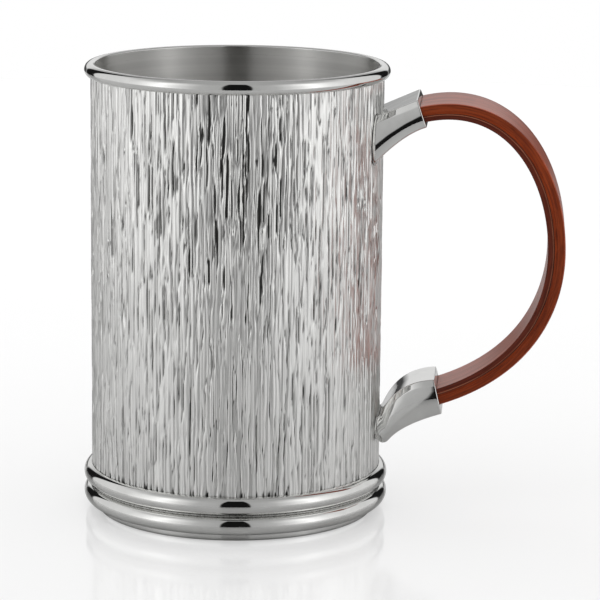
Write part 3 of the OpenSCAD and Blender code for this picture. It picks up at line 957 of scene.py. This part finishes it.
class Horn:
    """One cast socket in the plane of X and Z: a top and an under line, each a chain of
    quadratic curves, and the width at the chain's joints. t runs from 0 at the root to 1
    at the mouth, where the shares say which stretch it is in."""

    def __init__(self, tops, unders, widths, shares):
        self.tops, self.unders = tops, unders
        self.widths, self.shares = widths, shares

    def line(self, chain, t):
        """Point on a chain: within each stretch, the quadratic through its three points."""
        points = np.zeros(t.shape + (2,))
        for k, p in enumerate(chain):
            low, high = self.shares[k], self.shares[k + 1]
            u = np.clip((t - low) / (high - low), 0, 1)[..., None]
            value = (1 - u) ** 2 * p[0] + 2 * u * (1 - u) * p[1] + u**2 * p[2]
            points = np.where((t >= low)[..., None], value, points)
        return points

    def skin(self, t, outline, inset=0.0):
        """Point of outline column j at place t[i, j]: the outline is as wide and as high as the
        horn there, set square to the line from under to top, and shrunk by inset. The width
        eases into its fullest at the mouth."""
        top, under = self.line(self.tops, t), self.line(self.unders, t)
        height = np.linalg.norm(top - under, axis=-1)
        up = (top - under) / height[..., None]
        taper = max(self.widths) - np.interp(t, self.shares, self.widths)
        width = max(self.widths) - taper**2 / (max(self.widths) - self.widths[0])
        across, lift = outline(width, height)
        column = np.arange(t.shape[1])
        across = across[column, :, column].T * (1 - 2 * inset / width)
        lift = lift[column, :, column].T * (1 - 2 * inset / height)
        middle = (top + under) / 2 + up * lift[..., None]
        return np.stack([middle[..., 0], across, middle[..., 1]], -1)


def leaning(degrees):
    """Downward direction of a line that leans from upright."""
    return np.array([math.sin(degrees), -math.cos(degrees)])


def upper_horn(strap, sizes):
    """Straight along the top and hollowed along the underside."""
    middle = np.array([BARREL_R + sizes.upper_reach, strap.top_z + sizes.upper_rise])
    down = leaning(sizes.upper_lean)
    top = middle - (strap.thick / 2 + sizes.upper_roof) * down
    under = middle + (strap.thick / 2 + sizes.upper_floor) * down
    root_x = BARREL_R - ROOT_DEPTH
    root = np.array([root_x, top[1] - (top[0] - root_x) * math.tan(sizes.upper_fall)])
    heel = root - np.array([0, sizes.upper_root])
    waist = np.array([BARREL_R, under[1]]) + UPPER_WAIST
    width = strap.width_top + 2 * (sizes.glue + sizes.side_wall + sizes.bulge)
    return Horn(
        [[root, (root + top) / 2, top]], [[heel, waist, under]], [width - UPPER_TAPER, width], [0, 1],
    )


def lower_horn(strap, sizes):
    """A rounded tip that curls out of the barrel, then two hollowed faces up to the mouth."""
    middle = np.array([BARREL_R + sizes.lower_reach, strap.low_z + sizes.lower_rise])
    down = leaning(sizes.lower_lean)
    top = middle - (strap.thick / 2 + sizes.lower_roof) * down
    under = middle + (strap.thick / 2 + sizes.lower_floor) * down
    tip = np.array([BARREL_R, sizes.lower_tip])
    neck_top, neck_under = tip + NECK_TOP, tip + NECK_UNDER
    start = np.array([BARREL_R - ROOT_DEPTH, sizes.lower_tip]) + CURL_START
    rise = (middle[1] - strap.low_z) / (strap.top_z - strap.low_z)
    width = strap.width_low + (strap.width_top - strap.width_low) * rise
    width += 2 * (sizes.glue + sizes.side_wall + sizes.bulge)
    return Horn(
        [[start + CURL_OPEN, neck_top - CURL_TOP, neck_top],
         [neck_top, np.array([BARREL_R, top[1]]) + LOWER_HOLLOW, top]],
        [[start - CURL_OPEN, neck_under - CURL_UNDER, neck_under],
         [neck_under, np.array([BARREL_R, under[1]]) + LOWER_WAIST, under]],
        [width - LOWER_TAPER - TIP_TAPER, width - LOWER_TAPER, width], [0, 0.3, 1],
    )


def toward(a, b, reach):
    """Point that lies reach from corner a towards corner b, but never past their middle."""
    run = (b[0] - a[0], b[1] - a[1])
    part = np.minimum(reach / np.maximum(np.hypot(*run), 1e-9), 0.48)
    return a[0] + run[0] * part, a[1] + run[1] * part


def socket_outline(sizes):
    """Closed section as a function of width and height: a flat top, a bevel along each top
    edge, gently swollen sides and rounded lower edges. Each corner is cut by a quadratic
    curve, with a holding point on either side of it."""
    drop = sizes.bevel * BEVEL_RISE
    shares = np.linspace(0, 1, 7)[1:-1]
    curve = np.linspace(0, 1, 5)

    def corners(width, height):
        side = height - drop
        inner = width / 2 - sizes.bulge
        rows = [(0 * width, height / 2, 0), (width / 2 - sizes.bevel, height / 2, sizes.arris)]
        rows.append((inner, height / 2 - drop, sizes.arris))
        for v in shares:
            swell = sizes.bulge * (1 - (2 * v - 1) ** 2)
            rows.append((inner + swell, height / 2 - drop - side * v, 0))
        rows.append((inner, -height / 2, sizes.low_round))
        rows.append((0 * width, -height / 2, 0))
        return rows

    def outline(width, height):
        rows = corners(width, height)
        half = []
        for k, row in enumerate(rows):
            if row[2] == 0:
                half.append(row[:2])
                continue
            a, b = toward(row, rows[k - 1], row[2]), toward(row, rows[k + 1], row[2])
            half.append(toward(row, rows[k - 1], row[2] * HOLD))
            for t in curve:
                share_of = (1 - t) ** 2, 2 * t * (1 - t), t * t
                half.append(tuple(
                    share_of[0] * a[i] + share_of[1] * row[i] + share_of[2] * b[i] for i in (0, 1)
                ))
            half.append(toward(row, rows[k + 1], row[2] * HOLD))
        back = half[-2:0:-1]
        across = np.stack([p[0] for p in half] + [-p[0] for p in back])
        return across, np.stack([p[1] for p in half] + [p[1] for p in back])

    return outline


def leave_barrel(horn, outline):
    """For each outline column, the t at which its line comes out of the barrel, by halving
    the span between a place inside and one outside."""
    count = outline(np.ones(1), np.ones(1))[0].shape[0]
    low, high = np.zeros((1, count)), np.full((1, count), 0.9)
    for _ in range(40):
        t = (low + high) / 2
        point = horn.skin(t, outline)
        inside = np.hypot(point[..., 0], point[..., 1]) < BARREL_R + GAP
        low, high = np.where(inside, t, low), np.where(inside, high, t)
    return high[0]


def mortise_ring(curve, ends, middle, up, count, sizes):
    """Rectangle that the strap and its glue fill where they cross a leaning plane. Its corners
    fall on fixed outline columns, and the other columns are shared out evenly between."""
    out = np.array([up[1], -up[0]])
    s = np.linspace(*ends, 400)
    lifts, heights = [], []
    for through, grow in ((0.5, sizes.glue), (-0.5, -sizes.glue)):
        edge = curve.edge(s, through, grow) - middle
        order = np.argsort(edge @ out)
        lifts.append(np.interp(0, (edge @ out)[order], (edge @ up)[order]))
        heights.append(middle[1] + lifts[-1] * up[1])
    roof, floor = max(lifts), min(lifts)
    half_w = curve.half_width(sum(heights) / 2) + sizes.glue
    half_count = count // 2 + 1
    stops = [0, half_w, half_w + roof - floor, 2 * half_w + roof - floor]
    travel = np.interp(np.arange(half_count), [0, TOP_CORNER, LOW_CORNER, half_count - 1], stops)
    across = np.interp(travel, stops, [0, half_w, half_w, 0])
    lift = np.interp(travel, stops, [roof, roof, floor, floor])
    across = np.concatenate([across, -across[-2:0:-1]])
    lift = np.concatenate([lift, lift[-2:0:-1]])
    place = middle + up * lift[:, None]
    return np.stack([place[:, 0], across, place[:, 1]], -1)


def socket_rings(horn, curve, ends, depth, sizes):
    """Rows of the closed casting: from the middle of its face on the barrel out to its root,
    along the horn, round the lip of the mouth, across the mouth's face and down the mortise."""
    outline = socket_outline(sizes)
    start = leave_barrel(horn, outline)
    along = np.linspace(0, 1, 44)
    lip = sizes.mouth_round
    mouth_top, mouth_under = horn.tops[-1][-1], horn.unders[-1][-1]
    run = np.linalg.norm(mouth_top - horn.tops[-1][1]) * 2 / (1 - horn.shares[-2])
    body_end = 1 - lip * HOLD / run
    t = start[None, :] + (body_end - start[None, :]) * along[:, None]
    rows = [horn.skin(t, outline)]
    for turn in np.radians([0, 30, 60, 90]):
        place = np.full((1, start.size), 1 - lip * (1 - math.sin(turn)) / run)
        rows.append(horn.skin(place, outline, lip * (1 - math.cos(turn))))
    mouth = np.ones((1, start.size))
    rows.append(horn.skin(mouth, outline, lip * HOLD))
    middle = (mouth_top + mouth_under) / 2
    up = (mouth_top - mouth_under) / np.linalg.norm(mouth_top - mouth_under)
    out = np.array([up[1], -up[0]])
    hole = mortise_ring(curve, ends, middle, up, start.size, sizes)
    back = mortise_ring(curve, ends, middle - out * depth, up, start.size, sizes)
    rows += [hole[None], (hole + (back - hole) * 0.1)[None], back[None]]
    root = rows[0][0]
    centre = root.mean(0)
    for part in (0.75, 0.5, 0.25):
        ring = centre + (root - centre) * part
        ring[:, 0] = np.sqrt((BARREL_R + GAP) ** 2 - ring[:, 1] ** 2)
        rows.insert(0, ring[None])
    hub = np.array([BARREL_R + GAP, 0, centre[2]])
    return np.concatenate(rows), hub, back.mean(0), root


def fillet_rings(horn, root, start, sizes, rng):
    """Closed solder fillet round a casting's root: at each root point a hollow triangle with
    one leg along the barrel and one along the casting, its legs varied by slow waves."""
    count = len(root)
    turn = np.arctan2(root[:, 1], root[:, 0])
    flat = np.stack([turn * BARREL_R, root[:, 2]], -1)
    run = np.roll(flat, -1, 0) - np.roll(flat, 1, 0)
    away = np.stack([run[:, 1], -run[:, 0]], -1) / np.linalg.norm(run, axis=1)[:, None]
    if ((flat - flat.mean(0)) * away).sum() < 0:
        away = -away
    place = np.arange(count) * 2 * np.pi / count
    wave = sum(np.sin(k * place + rng.uniform(0, 2 * np.pi)) / k for k in (2, 3, 5, 7))
    leg = sizes.solder_leg * (0.8 + 0.14 * wave)
    foot = flat + away * leg[:, None]
    skin_r = BARREL_R + GAP
    on_barrel = np.stack([
        skin_r * np.cos(foot[:, 0] / BARREL_R), skin_r * np.sin(foot[:, 0] / BARREL_R), foot[:, 1],
    ], -1)
    outline = socket_outline(sizes)
    ahead = horn.skin(np.minimum(start + 0.12, 0.98)[None, :], outline)[0]
    step = ahead - root
    on_horn = root + step / np.linalg.norm(step, axis=1)[:, None] * leg[:, None]
    lift = (on_barrel - root) + (on_horn - root)
    corner = root + 0.12 * lift
    t = np.linspace(0, 1, 7)[:, None, None]
    hollow = (1 - t) ** 2 * on_barrel + 2 * t * (1 - t) * corner + t**2 * on_horn
    return np.concatenate([root[None], hollow])


class TANKARD_OT_sockets(bpy.types.Operator):
    """Two cast sockets and the solder round their roots"""

    bl_idname = "tankard.sockets"
    bl_label = "Sockets"

    def execute(self, context):
        strap, sizes = context.scene.tankard_strap, context.scene.tankard_socket
        curve = StrapCurve(strap)
        rng = np.random.default_rng(3)
        jobs = [
            ("upper", upper_horn(strap, sizes), (0, 0.3), UPPER_MORTISE),
            ("lower", lower_horn(strap, sizes), (2, 1.7), LOWER_MORTISE),
        ]
        for name, horn, ends, depth in jobs:
            rings, hub, end, root = socket_rings(horn, curve, ends, depth, sizes)
            rows, count = rings.shape[:2]
            total = rows * count
            points = np.concatenate([rings.reshape(-1, 3), [hub, end]])
            caps = np.concatenate([
                fan(np.arange(count), total), fan(np.arange(count)[::-1] + total - count, total + 1),
            ])
            sides = faces_of(rows, count, wrap_rows=False)
            make_piece(
                name + "_casting", points, [sides, caps], ["polished_pewter"], name + "_socket", 50,
            )
            start = leave_barrel(horn, socket_outline(sizes))
            fillet = fillet_rings(horn, root, start, sizes, rng)
            faces = faces_of(*fillet.shape[:2])
            make_piece(name + "_fillet", fillet, [faces], ["solder"], name + "_solder", 60)
        return {"FINISHED"}


# ---- stage

class TANKARD_OT_stage(bpy.types.Operator):
    """White table, soft studio light and the camera"""

    bl_idname = "tankard.stage"
    bl_label = "Stage"

    def execute(self, context):
        sizes = context.scene.tankard_stage
        self.lay_table(sizes)
        self.light_studio(context.scene, sizes)
        self.set_camera(context.scene, sizes)
        context.scene.view_settings.view_transform = "Standard"
        return {"FINISHED"}

    def lay_table(self, sizes):
        """Round table top, a grid of rings from the middle to its edge, set back from the camera."""
        radii = sizes.floor_reach * np.linspace(0, 1, TABLE_RINGS + 1)[1:] ** 2
        a = np.arange(TABLE_SIDES) * 2 * np.pi / TABLE_SIDES
        level = np.zeros((TABLE_RINGS, TABLE_SIDES))
        rings = np.stack([np.outer(radii, np.cos(a)), np.outer(radii, np.sin(a)), level], -1)
        back = sizes.floor_reach - sizes.floor_front
        middle = [-back * math.sin(sizes.azimuth), back * math.cos(sizes.azimuth), 0]
        points = np.concatenate([rings.reshape(-1, 3), [[0, 0, 0]]]) + middle
        quads = faces_of(TABLE_RINGS, TABLE_SIDES, wrap_rows=False)[:, ::-1]
        hub = fan(np.arange(TABLE_SIDES), level.size)
        mesh = bpy.data.meshes.new("table")
        mesh.from_pydata(points.tolist(), [], quads.tolist() + hub.tolist())
        mesh.materials.append(table_finish())
        table = bpy.data.objects.new("table", mesh)
        bpy.context.scene.collection.objects.link(table)

    def light_studio(self, scene, sizes):
        """World light by direction: bright diffusers left and right, a dark gap where the
        camera stands, dark strips between the diffusers and the pale background, and a grey
        ceiling. Dull surfaces get an even fill, and the camera itself sees plain white."""
        world = bpy.data.worlds.new("studio")
        world.use_nodes = True
        tree = world.node_tree
        tree.nodes.clear()
        toward = node(tree, "ShaderNodeTexCoord").outputs["Generated"]
        turned = node(tree, "ShaderNodeVectorRotate", {
            "Vector": toward, "Angle": -sizes.azimuth, "Axis": (0, 0, 1),
        }, rotation_type="AXIS_ANGLE")
        x, y, z = node(tree, "ShaderNodeSeparateXYZ", {"Vector": turned.outputs["Vector"]}).outputs
        side, front = calculate(tree, "ABSOLUTE", x), calculate(tree, "MULTIPLY", y, -1.0)
        share_round = calculate(tree, "DIVIDE", calculate(tree, "ARCTAN2", side, front), math.pi)

        def lay(below, level, *shares):
            """Grey of a level laid over the socket below, by the product of its shares."""
            factor = shares[0] if len(shares) == 1 else calculate(tree, "MULTIPLY", *shares)
            return mix(tree, factor, below, rgba(WHITE, level))

        to_back = span(tree, share_round, 0, 1, 0.86, 0.88)
        off_front = span(tree, share_round, 0, 1, 0.062, 0.076)
        walls = [(degrees / 180, (level, level, level, 1)) for degrees, level in WALLS]
        light = ramp(tree, share_round, walls)
        light = lay(light, LOW_BACK, to_back, span(tree, z, 1, 0, 0.03, 0.10))
        light = lay(light, HIGH_BACK, to_back, span(tree, z, 0, 1, 0.25, 0.45))
        light = lay(light, UPPER_WALLS, off_front, span(tree, z, 0, 1, 0.62, 0.9))
        light = lay(light, ZENITH, span(tree, z, 0, 1, 0.93, 0.95))
        paths = node(tree, "ShaderNodeLightPath").outputs
        shader = self.background(tree, light, sizes.strength)
        for ray, strength in (("Is Diffuse Ray", sizes.fill), ("Is Camera Ray", 1.0)):
            plain = self.background(tree, rgba(WHITE), strength)
            shader = node(tree, "ShaderNodeMixShader", {0: paths[ray], 1: shader, 2: plain}).outputs[0]
        out = node(tree, "ShaderNodeOutputWorld")
        tree.links.new(shader, out.inputs["Surface"])
        scene.world = world

    def background(self, tree, light, strength):
        """Light of one colour from all round, or of a colour by its direction."""
        return node(tree, "ShaderNodeBackground", {"Color": light, "Strength": strength}).outputs[0]

    def set_camera(self, scene, sizes):
        """Camera at its stand-off, looking across the handle's plane, tilted, panned and rolled."""
        back = Vector((math.sin(sizes.azimuth), -math.cos(sizes.azimuth), 0)) * sizes.stand_off
        ahead = Vector((
            math.sin(sizes.pan) * math.cos(sizes.tilt),
            math.cos(sizes.pan) * math.cos(sizes.tilt),
            -math.sin(sizes.tilt),
        ))
        level = Vector((math.cos(sizes.pan), -math.sin(sizes.pan), 0))
        down = ahead.cross(level)
        right = level * math.cos(sizes.roll) + down * math.sin(sizes.roll)
        down = down * math.cos(sizes.roll) - level * math.sin(sizes.roll)
        turn = Matrix.Rotation(sizes.azimuth, 3, "Z")
        axes = Matrix([turn @ right, turn @ -down, turn @ -ahead]).transposed()
        data = bpy.data.cameras.new("camera")
        data.sensor_width = 36
        data.lens = sizes.lens / MM
        data.clip_start, data.clip_end = 0.01, 100
        camera = bpy.data.objects.new("camera", data)
        scene.collection.objects.link(camera)
        camera.matrix_world = Matrix.Translation(back + Vector((0, 0, sizes.height))) @ axes.to_4x4()
        scene.camera = camera


class TANKARD_PT_panel(bpy.types.Panel):
    """Lists the tankard's pieces"""

    bl_label = "Tankard"
    bl_idname = "TANKARD_PT_panel"
    bl_space_type = "VIEW_3D"
    bl_region_type = "UI"
    bl_category = "Tankard"

    def draw(self, context):
        for operator in OPERATORS:
            self.layout.operator(operator.bl_idname)


GROUPS = [
    ("tankard_bark", BarkSizes), ("tankard_turned", TurnedSizes), ("tankard_strap", StrapSizes),
    ("tankard_socket", SocketSizes), ("tankard_finishes", Finishes), ("tankard_stage", StageSizes),
]
OPERATORS = [
    TANKARD_OT_barrel, TANKARD_OT_rim, TANKARD_OT_foot, TANKARD_OT_base, TANKARD_OT_strap,
    TANKARD_OT_sockets, TANKARD_OT_stage,
]


def register():
    for name, group in GROUPS:
        bpy.utils.register_class(group)
        setattr(bpy.types.Scene, name, PointerProperty(type=group))
    for cls in [*OPERATORS, TANKARD_PT_panel]:
        bpy.utils.register_class(cls)


def unregister():
    for cls in [TANKARD_PT_panel, *reversed(OPERATORS)]:
        bpy.utils.unregister_class(cls)
    for name, group in reversed(GROUPS):
        delattr(bpy.types.Scene, name)
        bpy.utils.unregister_class(group)


def main():
    """Registers the add-on, then builds every piece in order."""
    register()
    for operator in OPERATORS:
        family, name = operator.bl_idname.split(".")
        getattr(getattr(bpy.ops, family), name)()


if __name__ == "__main__":
    main()
